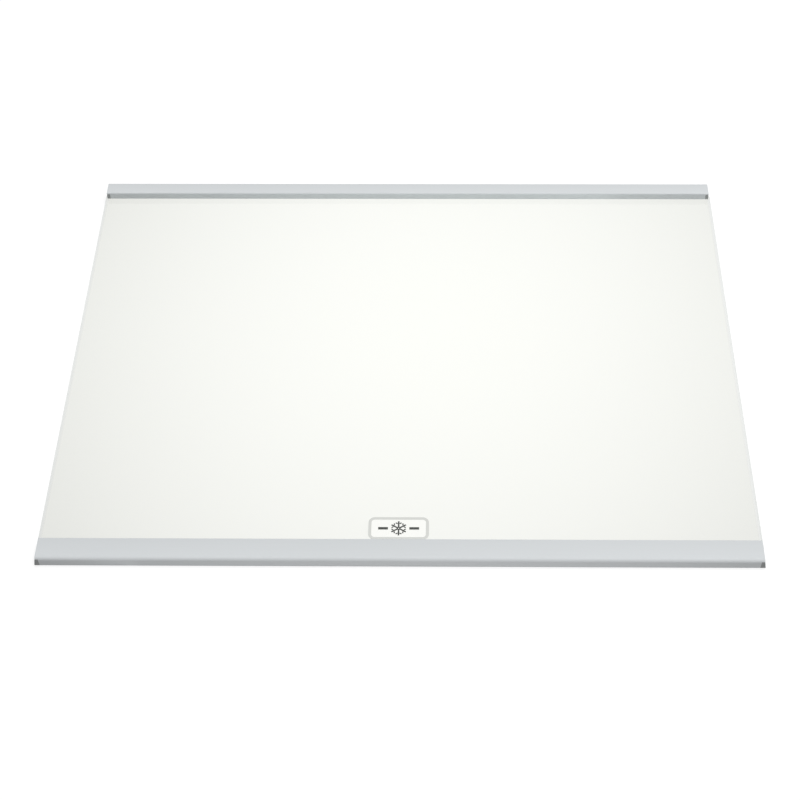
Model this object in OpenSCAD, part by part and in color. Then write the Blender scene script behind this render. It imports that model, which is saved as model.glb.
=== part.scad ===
// Refrigerator shelf: a toughened glass plate held between two extruded plastic trims.
// The front trim is a hollow nose with a wide flat top flange. The rear trim carries a
// raised hollow back stop. Both grip the glass in a ribbed channel, and a small moulded
// cap plugs each end of each trim. Its head fills a notch under the trim's top wall.
// X runs along the width, Y from the front to the rear and Z up. The origin is under the
// middle of the shelf, on the surface that the two trims rest on.

/* [Shelf] */
// Depth of the whole shelf, over both trims
shelf_d = 361; // [260:1:480]

/* [Glass plate] */
// Width of the glass
glass_w = 500; // [300:1:700]
// Thickness of the glass
glass_t = 4; // [3:0.5:6]
// Radius of the corners in plan
glass_corner_r = 4; // [2:0.5:10]
// How far the rounded, ground edge bows out past the flat faces
glass_bow = 1.2; // [0.4:0.1:1.4]

/* [Both trims] */
// Wall thickness of the extrusions
trim_wall = 1.3; // [1:0.05:1.6]
// How far the nose reaches below the lower lip, to stand clear of the shelf ledge
foot_drop = 1.5; // [0.5:0.1:5]
// Gap between the glass edge and the end wall of the channel
glass_end_gap = 0.3; // [0.1:0.05:0.6]
// Edge radius of the lips and of the undersides
edge_r = 0.8; // [0.3:0.1:0.9]
// Corner radius inside the hollow chambers
chamber_r = 0.4; // [0.3:0.05:0.5]

/* [Gripping ribs] */
// Height of the ribs that touch the glass
grip_h = 0.25; // [0.15:0.05:0.6]
// Width of a rib where it meets the wall
grip_root = 0.8; // [0.6:0.1:1.2]
// Width of the flat land that touches the glass
grip_land = 0.3; // [0.1:0.05:0.5]
// Distance from one rib to the next
grip_pitch = 2.2; // [1.4:0.1:5]

/* [Front trim] */
// Width of the visible top of the front trim
front_trim_w = 17.4; // [15:0.1:30]
// Depth of the hollow nose in front of the glass
front_nose_d = 6.7; // [6:0.1:9]
// Radius of the long upper edge at the front
front_edge_r = 2.6; // [1.7:0.1:2.8]
// How far each end of the front trim stops short of the glass edge
front_inset = 0.95; // [0:0.05:5]
// How far its lower lip stops short of the upper one
front_lip_back = 2; // [0:0.1:4]

/* [Rear trim] */
// Width of the back stop
rear_trim_w = 11.7; // [10:0.1:20]
// Depth of the hollow part behind the glass
rear_nose_d = 4.7; // [4:0.1:6]
// Height of the back stop above the glass
back_stop_h = 6.4; // [5:0.1:20]
// Radius of both long upper edges of the back stop
stop_edge_r = 1; // [0.5:0.1:1.6]
// How far each end of the rear trim stops short of the glass edge
rear_inset = 2.35; // [0:0.05:5]
// How far its lower lip stops short of the upper one
rear_lip_back = 3.8; // [0:0.1:4]

/* [End caps] */
// Length of the notch under the trim's top wall that the cap's head fills
notch_l = 2.3; // [1.5:0.1:6]
// How far the foot of a front cap stands out past the end of its trim
front_cap_out = 1.4; // [0.6:0.05:3]
// How far the foot of a rear cap stands out past the end of its trim
rear_cap_out = 0.8; // [0.6:0.05:3]
// Radius of the head's upright outer edges
cap_edge_r = 0.3; // [0.1:0.05:0.5]
// Length of the spigot inside the chamber
spigot_l = 9; // [5:0.5:20]
// Clearance between a spigot and its chamber
spigot_clear = 0.15; // [0.1:0.05:0.25]
// Lead-in chamfer at the spigot's tip
lead_in = 0.3; // [0.1:0.05:0.35]
// Width of the crush ribs that hold a spigot in its chamber
crush_w = 0.6; // [0.3:0.1:1]

/* [Hidden] */
$fn = 48;

// Heights above the surface that the shelf rests on
channel_lo = foot_drop + trim_wall;
glass_lo = channel_lo + grip_h;
glass_hi = glass_lo + glass_t;
channel_hi = glass_hi + grip_h;
front_top = channel_hi + trim_wall;
rear_top = glass_hi + back_stop_h;

// Depths measured inwards from a trim's outer face
front_glass_start = front_nose_d + glass_end_gap;
rear_glass_start = rear_nose_d + glass_end_gap;

glass_d = shelf_d - front_glass_start - rear_glass_start;
glass_y = (front_glass_start - rear_glass_start) / 2;
front_l = glass_w - 2 * front_inset;
rear_l = glass_w - 2 * rear_inset;

// The arc of the ground edge: its radius, from its chord and its rise
bow_r = (pow(glass_t / 2, 2) + pow(glass_bow, 2)) / (2 * glass_bow);
// The flat strip between a corner's centre and the start of the ground edge
corner_flat = glass_corner_r - glass_bow;

// How deep a rib's root is sunk into its lip, clear of the lip's rounded corner
rib_sink = (trim_wall - edge_r) / 2;

// How far the boxes that cut the notches reach past the trim
past = 1;

// Chambers are given by their lowest and highest corner, as depth and height
function nose_chamber(nose_d) = [[trim_wall, trim_wall], [nose_d - trim_wall, channel_hi]];
stop_chamber = [[trim_wall, front_top], [rear_trim_w - trim_wall, rear_top - trim_wall]];
// A chamber's corner radius, which a narrow chamber limits
function chamber_corner(box) = min(chamber_r, 0.4 * (box[1][0] - box[0][0]));
// The radius inside an outer edge of radius r, for a wall that stays as thick around it
function inside_of(r) = max(chamber_r, r - trim_wall);

glass_colour = [0.80, 0.90, 0.86, 0.45];
trim_colour = [0.80, 0.82, 0.84];
cap_colour = [0.50, 0.52, 0.54];

// Half of the plate's cross section beside an edge, from a corner's centre outwards
module edge_section() {
    translate([0, -glass_t / 2]) square([corner_flat, glass_t]);
    intersection() {
        translate([glass_corner_r - bow_r, 0]) circle(bow_r);
        translate([corner_flat, -glass_t / 2]) square([glass_bow, glass_t]);
    }
}

// A straight edge of the plate, of length l, centred along Y with its outside towards +X
module straight_edge(l) {
    rotate([90, 0, 0]) linear_extrude(l, center = true) edge_section();
}

module glass_plate() {
    inner_w = glass_w - 2 * glass_corner_r;
    inner_d = glass_d - 2 * glass_corner_r;
    color(glass_colour)
    translate([0, glass_y, (glass_lo + glass_hi) / 2]) {
        cube([inner_w, inner_d, glass_t], center = true);
        for (turn = [0, 180]) {
            rotate([0, 0, turn]) translate([inner_w / 2, 0, 0]) straight_edge(inner_d);
            rotate([0, 0, turn + 90]) translate([inner_d / 2, 0, 0]) straight_edge(inner_w);
        }
        for (sx = [0, 1], sy = [0, 1]) {
            mirror([sx, 0, 0]) mirror([0, sy, 0])
            translate([inner_w / 2, inner_d / 2, 0])
            rotate_extrude(angle = 90) edge_section();
        }
    }
}

// A rectangle from corner a to corner b. Its lower corners are rounded to low_r and its
// upper ones to high_r.
module soft_rect(a, b, low_r, high_r) {
    w = b[0] - a[0];
    h = b[1] - a[1];
    translate([a[0], a[1] + low_r]) square([w, h - low_r - high_r]);
    translate([a[0] + low_r, a[1]]) square([w - 2 * low_r, h - high_r]);
    translate([a[0] + high_r, a[1] + low_r]) square([w - 2 * high_r, h - low_r]);
    for (x = [a[0] + low_r, b[0] - low_r]) {
        translate([x, a[1] + low_r]) circle(low_r);
    }
    for (x = [a[0] + high_r, b[0] - high_r]) {
        translate([x, b[1] - high_r]) circle(high_r);
    }
}

// A wall from corner a to corner b whose free end, at high x, has its outer corner rounded.
// The outer corner is the upper one, or the lower one where under is true.
module soft_lip(a, b, r, under = false) {
    h = b[1] - a[1];
    square_y = under ? a[1] + r : a[1];
    translate(a) square([b[0] - a[0] - r, h]);
    translate([b[0] - r, square_y]) square([r, h - r]);
    intersection() {
        translate([b[0] - r, under ? a[1] + r : b[1] - r]) circle(r);
        translate([b[0] - r, a[1]]) square([r, h]);
    }
}

// Turns a section drawn as depth and height into a bar of length l along X
module along_width(l) {
    rotate([90, 0, 90]) linear_extrude(l, center = true) children();
}

// One gripping rib that stands up from height z, with its middle at depth v
module grip_rib(v, z) {
    translate([v, z]) polygon([
        [-grip_root / 2, -rib_sink],
        [-grip_root / 2, 0],
        [-grip_land / 2, grip_h],
        [grip_land / 2, grip_h],
        [grip_root / 2, 0],
        [grip_root / 2, -rib_sink]
    ]);
}

// The ribs of one lip, from its mouth inwards, as far as the glass has flat faces.
// They stand up from the lower lip, and hang from the upper one where upward is false.
module grip_ribs(l, mouth, flat_start, upward) {
    for (v = [mouth - grip_root / 2 : -grip_pitch : flat_start + grip_root / 2]) {
        along_width(l)
        if (upward) grip_rib(v, channel_lo);
        else translate([0, channel_hi]) rotate(180) grip_rib(-v, 0);
    }
}

// The part that both trims share: hollow nose, upper lip, lower lip and gripping ribs.
// Depth runs inwards from the outer face, and the glass comes in from high depth. The
// lower lip stops short of the upper one by lip_back.
module grip_channel(l, nose_d, width, nose_top_r, lip_back) {
    flat_start = nose_d + glass_end_gap + glass_bow;
    along_width(l) difference() {
        nose_outline(nose_d, nose_top_r);
        chamber(nose_chamber(nose_d), nose_top_r);
    }
    along_width(l) soft_lip([nose_top_r, channel_hi], [width, front_top], edge_r);
    along_width(l) soft_lip(
        [nose_d - trim_wall, foot_drop], [width - lip_back, channel_lo], edge_r, under = true
    );
    grip_ribs(l, width - lip_back, flat_start, true);
    grip_ribs(l, width, flat_start, false);
}

// Outline of a nose, from its foot to the top of the upper lip
module nose_outline(nose_d, nose_top_r) {
    soft_rect([0, 0], [nose_d, front_top], edge_r, nose_top_r);
}

// The hollow of a chamber whose outer wall has upper edges of radius outer_r. With clear,
// it is that much smaller on every side, as what plugs into it is.
module chamber(box, outer_r, clear = 0) {
    low_r = chamber_corner(box) - clear / 2;
    high_r = min(inside_of(outer_r), 0.4 * (box[1][0] - box[0][0])) - clear / 2;
    soft_rect(box[0] + [clear, clear], box[1] - [clear, clear], low_r, high_r);
}

// Puts what is drawn from the outer face inwards at the front of the shelf
module at_front() {
    translate([0, -shelf_d / 2, 0]) children();
}

// Puts what is drawn from the outer face inwards at the rear of the shelf
module at_rear() {
    translate([0, shelf_d / 2, 0]) mirror([0, 1, 0]) children();
}

module front_trim() {
    color(trim_colour)
    at_front() difference() {
        grip_channel(front_l, front_nose_d, front_trim_w, front_edge_r, front_lip_back);
        at_both_ends(front_l)
        translate([0, -past, -past])
        cube([notch_l + past, front_nose_d - trim_wall + past, channel_hi + past]);
    }
}

module rear_trim() {
    stop_notch_h = rear_top - trim_wall - glass_hi;
    color(trim_colour)
    at_rear() difference() {
        union() {
            grip_channel(rear_l, rear_nose_d, rear_trim_w, edge_r, rear_lip_back);
            along_width(rear_l) difference() {
                back_stop_outline();
                chamber(stop_chamber, stop_edge_r);
            }
        }
        at_both_ends(rear_l) {
            translate([0, -past, -past])
            cube([notch_l + past, rear_nose_d - trim_wall + past, channel_hi + past]);
            translate([0, -past, glass_hi])
            cube([notch_l + past, rear_trim_w + 2 * past, stop_notch_h]);
        }
    }
}

// Outline of the raised back stop, down to the channel's upper wall
module back_stop_outline() {
    difference() {
        soft_rect([0, channel_hi - edge_r], [rear_trim_w, rear_top], edge_r, stop_edge_r);
        translate([0, channel_hi - edge_r]) square([rear_trim_w, edge_r]);
    }
}

// A cap's head in plan: square at low x, and rounded at high x, where it stands out
module head_plan(depth, out) {
    reach = notch_l + out;
    square([reach - cap_edge_r, depth]);
    translate([0, cap_edge_r]) square([reach, depth - 2 * cap_edge_r]);
    for (y = [cap_edge_r, depth - cap_edge_r]) {
        translate([reach - cap_edge_r, y]) circle(cap_edge_r);
    }
}

// A cap's head seen from the front: flush with the trim's end at its top, and leaning out
// from there to its foot, whose edge is chamfered
module head_lean(top, out) {
    polygon([
        [0, 0],
        [notch_l + out - cap_edge_r, 0],
        [notch_l + out, cap_edge_r],
        [notch_l, top],
        [0, top]
    ]);
}

// A block of a cap's head between corners a and b, given as depth and height. Its outside
// follows the trim's outline, and its end face leans out from the head's top to its foot.
module head_block(a, b, top, out) {
    depth = b[0] - a[0];
    intersection() {
        rotate([90, 0, 90]) linear_extrude(notch_l + out) children();
        translate([0, b[0], 0]) rotate([90, 0, 0]) linear_extrude(depth) head_lean(top, out);
        translate([0, a[0], a[1]]) linear_extrude(b[1] - a[1]) head_plan(depth, out);
    }
}

// A strip along low x whose end at -spigot_l is chamfered, between a and b on its other axis
module lead_in_strip(a, b) {
    polygon([
        [-spigot_l, a + lead_in],
        [-spigot_l, b - lead_in],
        [lead_in - spigot_l, b],
        [notch_l / 2, b],
        [notch_l / 2, a],
        [lead_in - spigot_l, a]
    ]);
}

// The spigot that plugs into a chamber, with two crush ribs on its upright faces. The
// chamber's outer wall has upper edges of radius outer_r.
module spigot(box, outer_r) {
    a = [box[0][0] + spigot_clear, box[0][1] + spigot_clear];
    b = [box[1][0] - spigot_clear, box[1][1] - spigot_clear];
    middle = (a[1] + b[1]) / 2;
    intersection() {
        translate([-spigot_l, 0, 0]) rotate([90, 0, 90])
        linear_extrude(spigot_l + notch_l / 2) chamber(box, outer_r, spigot_clear);
        translate([0, b[0], 0]) rotate([90, 0, 0])
        linear_extrude(b[0] - a[0]) lead_in_strip(a[1], b[1]);
        translate([0, 0, a[1]]) linear_extrude(b[1] - a[1]) lead_in_strip(a[0], b[0]);
    }
    translate([-spigot_l / 2, box[0][0], middle - crush_w / 2])
    cube([spigot_l / 2, box[1][0] - box[0][0], crush_w]);
}

// Puts what is drawn at the origin, for the notch at the right-hand end of a trim of
// length l, at the end given by side
module at_end(l, side) {
    mirror([side < 0 ? 1 : 0, 0, 0]) translate([l / 2 - notch_l, 0, 0]) children();
}

module at_both_ends(l) {
    for (side = [-1, 1]) at_end(l, side) children();
}

module front_cap(side) {
    color(cap_colour)
    at_front() at_end(front_l, side) {
        head_block([0, 0], [front_nose_d - trim_wall, channel_hi], channel_hi, front_cap_out)
        nose_outline(front_nose_d, front_edge_r);
        spigot(nose_chamber(front_nose_d), front_edge_r);
    }
}

module rear_cap(side) {
    head_top = rear_top - trim_wall;
    color(cap_colour)
    at_rear() at_end(rear_l, side) {
        head_block([0, 0], [rear_nose_d - trim_wall, front_top], head_top, rear_cap_out)
        nose_outline(rear_nose_d, edge_r);
        head_block([0, channel_hi], [rear_trim_w, head_top], head_top, rear_cap_out)
        back_stop_outline();
        spigot(nose_chamber(rear_nose_d), edge_r);
        spigot(stop_chamber, stop_edge_r);
    }
}

glass_plate();
front_trim();
rear_trim();
front_cap(-1);  // front_cap_left
front_cap(1);  // front_cap_right
rear_cap(-1);  // rear_cap_left
rear_cap(1);  // rear_cap_right
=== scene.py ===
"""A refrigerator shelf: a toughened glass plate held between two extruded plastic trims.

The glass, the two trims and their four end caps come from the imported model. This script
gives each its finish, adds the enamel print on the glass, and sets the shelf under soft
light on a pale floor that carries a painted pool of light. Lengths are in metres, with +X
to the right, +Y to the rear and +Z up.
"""

import bpy
import numpy as np
from mathutils import Matrix, Vector


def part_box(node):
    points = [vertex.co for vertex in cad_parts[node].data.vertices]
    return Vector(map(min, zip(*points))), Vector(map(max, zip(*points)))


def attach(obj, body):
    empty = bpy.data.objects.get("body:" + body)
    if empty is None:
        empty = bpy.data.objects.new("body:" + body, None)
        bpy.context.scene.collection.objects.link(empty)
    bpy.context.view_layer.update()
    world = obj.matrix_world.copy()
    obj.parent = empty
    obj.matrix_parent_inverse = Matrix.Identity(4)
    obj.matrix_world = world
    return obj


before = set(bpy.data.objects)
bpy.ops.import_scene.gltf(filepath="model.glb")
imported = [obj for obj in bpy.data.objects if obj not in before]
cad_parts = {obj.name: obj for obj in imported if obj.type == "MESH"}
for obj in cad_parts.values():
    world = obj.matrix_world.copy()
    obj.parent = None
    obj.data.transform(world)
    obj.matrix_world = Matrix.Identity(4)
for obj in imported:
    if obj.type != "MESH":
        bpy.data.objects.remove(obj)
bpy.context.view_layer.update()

# Glass plate. Toughened soda-lime float glass, 4 mm thick, with faint iron tint. Its edges
# are ground to a round and left satin, and both trims are pushed onto it from its front
# and rear edges.
glass_low, glass_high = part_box("glass_plate")
glass_ior = 1.52
face_tint = (0.984, 0.983, 0.946, 1)
rim_tint = (0.81, 0.82, 0.825, 1)
upright_tint = (0.50, 0.74, 0.65, 1)
leaving_tint = tuple(np.sqrt(face_tint))
passing_tint = (0.99, 0.993, 0.993, 1)
iron_tint, iron_density = (0.16, 0.72, 0.44, 1), 4.0
rim_band = 0.0034
upright_from, upright_to = 0.5, 0.1
polished, ground = 0.0, 0.5
wheel_scale, wheel_strength, wheel_depth = 2500.0, 0.1, 0.00002


def new_material(name):
    """A material and its empty node tree."""
    material = bpy.data.materials.new(name)
    material.use_nodes = True
    tree = material.node_tree
    tree.nodes.clear()
    return material, tree


def add(tree, kind, inputs=None, **settings):
    """A node of that kind: inputs are values or sockets by name or number, settings its own."""
    node = tree.nodes.new(kind)
    for key, value in settings.items():
        setattr(node, key, value)
    for key, value in (inputs or {}).items():
        if isinstance(value, bpy.types.NodeSocket):
            tree.links.new(value, node.inputs[key])
        else:
            node.inputs[key].default_value = value
    return node


def sums(tree, operation, *values, clamp=False):
    """One step of arithmetic on numbers or sockets."""
    inputs = dict(enumerate(values))
    return add(tree, "ShaderNodeMath", inputs, operation=operation, use_clamp=clamp).outputs[0]


def ranged(tree, value, start, end, low=0.0, high=1.0):
    """A value carried from the range start to end onto low to high, and held at its ends."""
    return add(tree, "ShaderNodeMapRange", {
        "Value": value, "From Min": start, "From Max": end, "To Min": low, "To Max": high,
    }).outputs[0]


def blended(tree, factor, first, second):
    """Two colours mixed by a factor from 0 to 1."""
    inputs = {"Factor": factor, 6: first, 7: second}
    return add(tree, "ShaderNodeMix", inputs, data_type="RGBA").outputs[2]


def scaled(tree, vector, by):
    """A vector or colour multiplied by a vector or a number."""
    return add(tree, "ShaderNodeVectorMath", {0: vector, 1: by}, operation="MULTIPLY").outputs[0]


def part_of(tree, vector, axis):
    """One of a vector's three parts."""
    return add(tree, "ShaderNodeSeparateXYZ", {0: vector}).outputs[axis]


def object_place(tree):
    """Where a point lies in its object."""
    return add(tree, "ShaderNodeTexCoord").outputs["Object"]


def surface_normal(tree):
    """Which way the surface faces."""
    return add(tree, "ShaderNodeNewGeometry").outputs["Normal"]


def dress(node, material):
    """Gives a whole CAD node one material."""
    node.data.materials.clear()
    node.data.materials.append(material)


def toughened_glass():
    """Clear glass with a green body and a ground rim. The rim is where the distance from the
    plate's middle, along X or Y, comes within a narrow band of the plate's half size. Light
    that came in through one face leaves by the other unbent, so that none is caught inside."""
    material, tree = new_material("toughened_glass")
    half = (glass_high - glass_low) / 2
    middle = (glass_high + glass_low) / 2
    place = object_place(tree)
    centred = add(tree, "ShaderNodeMapping", {"Vector": place, "Location": -middle}).outputs[0]
    near_side, near_end = (
        ranged(tree, sums(tree, "ABSOLUTE", part_of(tree, centred, axis)),
               size - rim_band, size - rim_band / 2)
        for axis, size in (("X", half.x), ("Y", half.y))
    )
    rim = sums(tree, "MAXIMUM", near_side, near_end)
    steepness = sums(tree, "ABSOLUTE", part_of(tree, surface_normal(tree), "Z"))
    upright = ranged(tree, steepness, upright_from, upright_to)
    edge = blended(tree, upright, rim_tint, upright_tint)
    wheel = add(tree, "ShaderNodeTexNoise", {"Vector": place, "Scale": wheel_scale, "Detail": 3.0})
    relief = add(tree, "ShaderNodeBump", {
        "Height": sums(tree, "MULTIPLY", wheel.outputs["Fac"], rim),
        "Strength": wheel_strength, "Distance": wheel_depth,
    })
    clear = add(tree, "ShaderNodeBsdfPrincipled", {
        "Base Color": blended(tree, rim, face_tint, edge),
        "Roughness": ranged(tree, rim, 0.0, 1.0, polished, ground),
        "Normal": relief.outputs[0], "Transmission Weight": 1.0, "IOR": glass_ior,
    })
    ray = add(tree, "ShaderNodeLightPath")
    surface = clear.outputs[0]
    for kind, tint in (
        ("Is Transmission Ray", leaving_tint),
        ("Is Diffuse Ray", passing_tint),
        ("Is Shadow Ray", passing_tint),
    ):
        unbent = add(tree, "ShaderNodeBsdfTransparent", {"Color": tint})
        surface = add(tree, "ShaderNodeMixShader", {
            0: ray.outputs[kind], 1: surface, 2: unbent.outputs[0],
        }).outputs[0]
    body = add(tree, "ShaderNodeVolumeAbsorption", {"Color": iron_tint, "Density": iron_density})
    add(tree, "ShaderNodeOutputMaterial", {"Surface": surface, "Volume": body.outputs[0]})
    return material


dress(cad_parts["glass_plate"], toughened_glass())

# Print on the glass. A rounded frame of fired grey enamel beside the front trim, a white
# field inside it and a dark frost mark on the field, each a few hundredths of a millimetre
# thick, screened onto the top face before toughening.
frame_t, field_t, mark_t = 0.00004, 0.00002, 0.00003
print_lift = 0.000005
frame_w, frame_d, frame_r = 0.0420, 0.0184, 0.0044
frame_line = 0.0021
print_aside = -0.0007
print_clear = 0.0002
print_middle = np.array([print_aside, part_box("front_trim")[1].y + print_clear + frame_d / 2])
corner_steps = 12
arm_r, arm_start, arm_line = 0.0058, 0.0004, 0.0011
barb_l, barb_at, barb_gap, barb_line = 0.0015, 0.0034, 0.0003, 0.00088
barb_lean = np.radians(60)
bar_l, bar_line, bar_from = 0.0068, 0.0020, 0.0074
frame_grey, frame_speckle = (0.68, 0.69, 0.66, 1), 0.12
field_white, field_speckle = (0.94, 0.945, 0.91, 1), 0.03
mark_grey, mark_speckle = (0.06, 0.065, 0.06, 1), 0.2
enamel_scale, enamel_gloss = 3000.0, (0.45, 0.65)


def rounded_frame(width, depth, radius):
    """Points round a rectangle with round corners: each corner is a quarter circle about its
    own centre, and the straight sides are the steps from one quarter to the next."""
    quarter = np.linspace(0, np.pi / 2, corner_steps)
    angle = quarter[None, :] + np.arange(4)[:, None] * np.pi / 2
    corner = np.array([[1, 1], [-1, 1], [-1, -1], [1, -1]])
    centre = corner * (width / 2 - radius, depth / 2 - radius)
    arc = np.stack([np.cos(angle), np.sin(angle)], axis=-1) * radius
    return (centre[:, None, :] + arc).reshape(-1, 2)


def printed_band(right, left, lift, film, closed):
    """A flat band of enamel between two edges in plan: at each step along them a rectangle,
    as high as the film, joins the point on the right edge to the one on the left."""
    low = glass_high.z + lift
    high = low + film
    corners = [(right, low), (right, high), (left, high), (left, low)]
    rings = [np.column_stack([edge, np.full(len(edge), z)]) for edge, z in corners]
    points = np.stack(rings, axis=1).reshape(-1, 3)
    count = len(right)
    first = np.arange(count if closed else count - 1) * 4
    after = (first + 4) % (count * 4)
    quads = []
    for k, m in ((0, 1), (1, 2), (2, 3), (3, 0)):
        quads.append(np.stack([first + k, after + k, after + m, first + m], axis=1))
    if not closed:
        last = (count - 1) * 4
        quads.append(np.array([[0, 1, 2, 3], [last + 3, last + 2, last + 1, last]]))
    return points, np.concatenate(quads)


def unit(vectors):
    """Each vector divided by its own length."""
    return vectors / np.linalg.norm(vectors, axis=1)[:, None]


def printed_stroke(path, line, lift, film, closed):
    """A stroke along a path in plan. Its edges lie half the line's width to each side, along
    the normal that each point gets from its two neighbours."""
    ahead = np.roll(path, -1, axis=0) - path
    behind = path - np.roll(path, 1, axis=0)
    if not closed:
        ahead[-1], behind[0] = behind[-1], ahead[0]
    along = unit(unit(ahead) + unit(behind))
    side = np.stack([along[:, 1], -along[:, 0]], axis=1) * line / 2
    return printed_band(path + side, path - side, lift, film, closed)


def mesh_piece(name, parts, material):
    """One mesh piece out of several (points, faces) arrays, riding on the shelf."""
    starts = np.cumsum([0] + [len(points) for points, _ in parts[:-1]])
    points = np.concatenate([points for points, _ in parts])
    faces = np.concatenate([quads + start for (_, quads), start in zip(parts, starts)])
    mesh = bpy.data.meshes.new(name)
    mesh.from_pydata(points.tolist(), [], faces.tolist())
    mesh.validate()
    mesh.materials.append(material)
    piece = bpy.data.objects.new(name, mesh)
    bpy.context.scene.collection.objects.link(piece)
    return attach(piece, "root")


def grey_frame():
    """The frame: a stroke round a rounded rectangle, drawn half a line inside its size."""
    path = rounded_frame(frame_w - frame_line, frame_d - frame_line, frame_r - frame_line / 2)
    return printed_stroke(path + print_middle, frame_line, print_lift, frame_t, True)


def white_field():
    """The field that fills the frame: the far half of the frame's inner edge, from right to
    left, joined to its mirror image in the near half."""
    inner = rounded_frame(frame_w - 2 * frame_line, frame_d - 2 * frame_line,
                          frame_r - frame_line)
    far = inner[:len(inner) // 2]
    near = far * (1, -1)
    return printed_band(far + print_middle, near + print_middle, print_lift, field_t, False)


def frost_mark():
    """A six-armed frost star between two plain bars. Each arm is a straight stroke from near
    the middle outwards, with two short barbs that lean out from it to either side."""
    strokes = []
    for turn in np.arange(6) * np.pi / 3 + np.pi / 6:
        out = np.array([np.cos(turn), np.sin(turn)])
        strokes.append((np.array([out * arm_start, out * arm_r]), arm_line))
        for lean in (-barb_lean, barb_lean):
            way = np.array([np.cos(turn + lean), np.sin(turn + lean)])
            root = out * barb_at + way * (barb_gap + arm_line / 2)
            strokes.append((np.array([root, root + way * barb_l]), barb_line))
    bar_ends = bar_from, bar_from + bar_l
    for ends in ([-end for end in reversed(bar_ends)], bar_ends):
        strokes.append((np.array([[end, 0.0] for end in ends]), bar_line))
    lift = print_lift + field_t
    return [printed_stroke(path + print_middle, line, lift, mark_t, False)
            for path, line in strokes]


def enamel(name, colour, speckle):
    """Fired enamel: a matt pigment whose tone varies a little from grain to grain."""
    material, tree = new_material(name)
    grain = add(tree, "ShaderNodeTexNoise", {
        "Vector": object_place(tree), "Scale": enamel_scale, "Detail": 2.0,
    }).outputs["Fac"]
    darker = tuple(c * (1 - speckle) for c in colour[:3]) + (1,)
    paint = add(tree, "ShaderNodeBsdfPrincipled", {
        "Base Color": blended(tree, grain, darker, colour),
        "Roughness": ranged(tree, grain, 0.0, 1.0, *enamel_gloss),
    })
    add(tree, "ShaderNodeOutputMaterial", {"Surface": paint.outputs[0]})
    return material


frame_enamel = enamel("frame_enamel", frame_grey, frame_speckle)
field_enamel = enamel("field_enamel", field_white, field_speckle)
mark_enamel = enamel("mark_enamel", mark_grey, mark_speckle)
mesh_piece("printed_outline", [grey_frame()], frame_enamel)
mesh_piece("printed_field", [white_field()], field_enamel)
mesh_piece("printed_frost_mark", frost_mark(), mark_enamel)

# Trims. Silver-grey plastic, extruded in one length and sawn off, so that faint die lines
# run along the width. They hold the glass in ribbed channels and are not fastened. Their
# top faces are painted a little paler toward the front, a painted shading that stands in for how
# the light falls across them.
trim_grey = (0.61, 0.632, 0.645, 1)
trim_grey_dark = (0.585, 0.608, 0.62, 1)
die_stretch, die_scale, die_relief = 0.01, 2200.0, 0.000004
trim_gloss = (0.34, 0.46)
# Painted light: the upward faces of the trims are made this much paler at the front than at the
# rear, standing in for how the light falls across them.
front_painted_light = 1.07
upward_from, upward_to = 0.5, 0.95
plastic_ior = 1.5


def fine_grain_group():
    """A node group for the surface of plastic: noise that can be stretched along X. It puts
    out the noise from 0 to 1, and a slower one for the drift of tone over a piece."""
    group = bpy.data.node_groups.new("fine_grain", "ShaderNodeTree")
    for name, start in (("Stretch", 1.0), ("Scale", 1000.0), ("Drift Scale", 8.0)):
        socket = group.interface.new_socket(name, in_out="INPUT", socket_type="NodeSocketFloat")
        socket.default_value = start
    for name in ("Grain", "Drift"):
        group.interface.new_socket(name, in_out="OUTPUT", socket_type="NodeSocketFloat")
    given = add(group, "NodeGroupInput").outputs
    place = object_place(group)
    squeeze = add(group, "ShaderNodeCombineXYZ", {0: given["Stretch"], 1: 1.0, 2: 1.0})
    fine = add(group, "ShaderNodeTexNoise", {
        "Vector": scaled(group, place, squeeze.outputs[0]),
        "Scale": given["Scale"], "Detail": 4.0, "Roughness": 0.6,
    })
    slow = add(group, "ShaderNodeTexNoise", {
        "Vector": place, "Scale": given["Drift Scale"], "Detail": 2.0,
    })
    add(group, "NodeGroupOutput", {"Grain": fine.outputs["Fac"], "Drift": slow.outputs["Fac"]})
    return group


fine_grain = fine_grain_group()


def plastic(name, light, dark, stretch, scale, relief, gloss, painted_light=None):
    """Plastic whose tone, gloss and relief follow the fine grain. With the last argument, two
    places along Y and a number, a painted light gradient is laid on what faces up: its tone
    is multiplied by 1 at the first place, by the number at the second, and evenly in between."""
    material, tree = new_material(name)
    grain = add(tree, "ShaderNodeGroup", {"Stretch": stretch, "Scale": scale},
                node_tree=fine_grain).outputs
    mottle = ranged(tree, sums(tree, "ADD", grain["Grain"], grain["Drift"]), 0.6, 1.4)
    tone = blended(tree, mottle, dark, light)
    # Painted light: a gradient along Y on the faces that look up.
    if painted_light:
        start, end, gain = painted_light
        across = ranged(tree, part_of(tree, object_place(tree), "Y"), start, end, 0.0, gain - 1)
        upward = ranged(tree, part_of(tree, surface_normal(tree), "Z"), upward_from, upward_to)
        tone = scaled(tree, tone, sums(tree, "MULTIPLY_ADD", across, upward, 1.0))
    bump = add(tree, "ShaderNodeBump", {"Height": grain["Grain"], "Distance": relief})
    skin = add(tree, "ShaderNodeBsdfPrincipled", {
        "Base Color": tone, "Roughness": ranged(tree, grain["Grain"], 0.0, 1.0, *gloss),
        "Normal": bump.outputs[0], "IOR": plastic_ior,
    })
    add(tree, "ShaderNodeOutputMaterial", {"Surface": skin.outputs[0]})
    return material


for name in ("front_trim", "rear_trim"):
    low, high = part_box(name)
    dress(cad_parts[name], plastic(
        name + "_plastic", trim_grey, trim_grey_dark, die_stretch, die_scale, die_relief,
        trim_gloss, painted_light=(high.y, low.y, front_painted_light),
    ))
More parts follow.
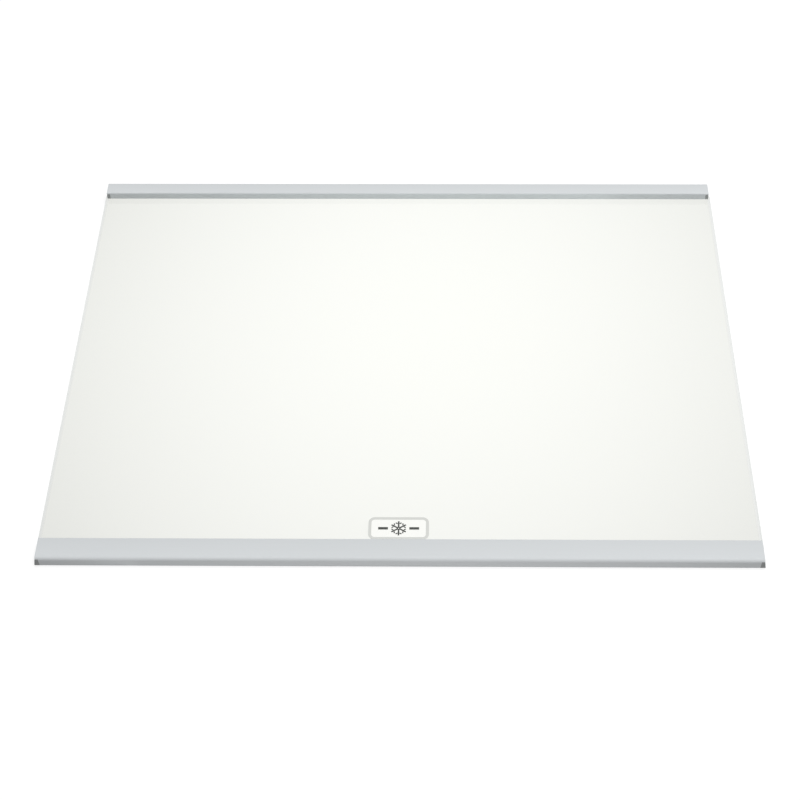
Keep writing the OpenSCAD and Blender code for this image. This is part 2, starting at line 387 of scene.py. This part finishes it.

# End caps. Moulded with a fine spark-eroded texture, pushed into the hollow chambers of the
# trims and held there by crush ribs. They are coloured a darker grey than the trims, which
# darkens the ends of the trims' faces.
cap_grey = (0.30, 0.31, 0.31, 1)
cap_grey_dark = (0.26, 0.27, 0.27, 1)
spark_stretch, spark_scale, spark_relief = 1.0, 2600.0, 0.000008
cap_gloss = (0.45, 0.6)
cap_plastic = plastic("cap_plastic", cap_grey, cap_grey_dark, spark_stretch, spark_scale,
                      spark_relief, cap_gloss)
for name in ("front_cap_left", "front_cap_right", "rear_cap_left", "rear_cap_right"):
    dress(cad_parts[name], cap_plastic)

# Floor. A pale sheet with no edge in sight, which keeps the shelf's own soft shadow. Rays
# from the camera see it white. Through the glass, and in its gloss, it shows a painted pool
# of light: a tone that falls off slowly from its brightest place under the shelf. The light
# that it throws back onto the shelf is painted to fall off too.
floor_size = 12.0
floor_seen = (1.06, 1.06, 1.06, 1)
floor_through = (1.023, 1.023, 1.023)
floor_bounce = (1.0, 1.0, 1.0)
shadow_seen, shadow_through = 0.42, 0.04
# Painted light: a pool of light on the floor, brightest at this place and falling off over these
# reaches.
painted_pool_middle = Vector((0.022, 0.046, 0.0))
painted_pool_reach = Vector((0.70, 0.76, 1.0))
through_pool_fall, painted_bounce_fall = 1.0, 2.6
sky_light = (0.42, 0.42, 0.42, 1)
sky_seen = (1.0, 1.0, 1.0, 1)


def pale_floor():
    """Matt white paper with a painted pool of light. Its tone through the glass is one less the
    squared distance from the brightest place, where a distance of 1 is the reach of the
    fall-off along X or Y, and the light that it throws back is painted to fall off in the same
    way, but faster. What is seen is partly the paper's lit colour and partly an even white, so
    that its shadow is soft."""
    material, tree = new_material("pale_floor")
    away = add(tree, "ShaderNodeVectorMath", {0: object_place(tree), 1: -painted_pool_middle},
               operation="ADD").outputs[0]
    reaches = scaled(tree, away, [1 / reach for reach in painted_pool_reach])
    square = add(tree, "ShaderNodeVectorMath", {0: reaches, 1: reaches},
                 operation="DOT_PRODUCT").outputs["Value"]
    # Painted light: the pool's fall-off, slower for what is seen through the glass and faster for
    # the light thrown back.
    through_pool_light, painted_bounce_light = (
        sums(tree, "SUBTRACT", 1.0, sums(tree, "MULTIPLY", square, fall), clamp=True)
        for fall in (through_pool_fall, painted_bounce_fall)
    )
    ray = add(tree, "ShaderNodeLightPath").outputs
    from_camera = ray["Is Camera Ray"]
    white = blended(tree, from_camera, scaled(tree, floor_through, through_pool_light), floor_seen)
    paper = add(tree, "ShaderNodeBsdfDiffuse", {"Color": white})
    glow = add(tree, "ShaderNodeEmission", {"Color": white, "Strength": 1.0})
    shadow = ranged(tree, from_camera, 0.0, 1.0, shadow_through, shadow_seen)
    seen = add(tree, "ShaderNodeMixShader", {
        0: sums(tree, "MULTIPLY", shadow, through_pool_light), 1: glow.outputs[0], 2: paper.outputs[0],
    })
    matt = add(tree, "ShaderNodeBsdfDiffuse", {"Color": scaled(tree, floor_bounce, painted_bounce_light)})
    surface = add(tree, "ShaderNodeMixShader", {
        0: ray["Is Diffuse Ray"], 1: seen.outputs[0], 2: matt.outputs[0],
    })
    add(tree, "ShaderNodeOutputMaterial", {"Surface": surface.outputs[0]})
    return material


bpy.ops.mesh.primitive_plane_add(size=floor_size, location=(0, 0, 0))
floor = bpy.context.object
floor.name = "floor"
floor.data.materials.append(pale_floor())

# Sky. An even white all round, which shines on the shelf at less than half the strength at
# which it shows in its gloss.
world = bpy.data.worlds.new("studio")
world.use_nodes = True
bpy.context.scene.world = world
sky_tree = world.node_tree
sky_tree.nodes.clear()
lights_up = add(sky_tree, "ShaderNodeLightPath").outputs["Is Diffuse Ray"]
sky = add(sky_tree, "ShaderNodeBackground", {
    "Color": blended(sky_tree, lights_up, sky_seen, sky_light), "Strength": 1.0,
})
add(sky_tree, "ShaderNodeOutputWorld", {"Surface": sky.outputs[0]})

# Lamp. One wide round soft box overhead, a little to the right. It lights the shelf and
# draws its shadow, and is kept out of the glass, which would mirror it as a hard disk.
lamp_size = 1.6
lamp_power = 24.0
lamp_place = Vector((0.30, 0.05, 1.75))
lamp = bpy.data.lights.new("soft_box", "AREA")
lamp.shape = "DISK"
lamp.size = lamp_size
lamp.energy = lamp_power
lamp_object = bpy.data.objects.new("soft_box", lamp)
bpy.context.scene.collection.objects.link(lamp_object)
lamp_object.visible_glossy = False
lamp_turn = lamp_place.to_track_quat("Z", "Y").to_matrix().to_4x4()
lamp_object.matrix_world = Matrix.Translation(lamp_place) @ lamp_turn

# Camera. It stands in front of the shelf, a little right of its middle, and looks down on
# it at the photograph's angle. The picture is cut out left of the lens's axis.
camera_place = Vector((0.0285, -0.7108, 0.8702))
camera_target = Vector((0.0168, -0.0412, 0.0071))
camera_roll = np.radians(-0.64)
picture_px, focal_px, axis_px = 800, 1478.7, 425.3
camera = bpy.data.cameras.new("camera")
camera.sensor_width = 36.0
camera.lens = camera.sensor_width * focal_px / picture_px
camera.shift_x = (picture_px / 2 - axis_px) / picture_px
camera_object = bpy.data.objects.new("camera", camera)
bpy.context.scene.collection.objects.link(camera_object)
camera_turn = (camera_place - camera_target).to_track_quat("Z", "Y").to_matrix().to_4x4()
camera_tilt = Matrix.Rotation(camera_roll, 4, "Z")
camera_object.matrix_world = Matrix.Translation(camera_place) @ camera_turn @ camera_tilt
bpy.context.scene.camera = camera_object

bpy.context.scene.view_settings.view_transform = "Standard"
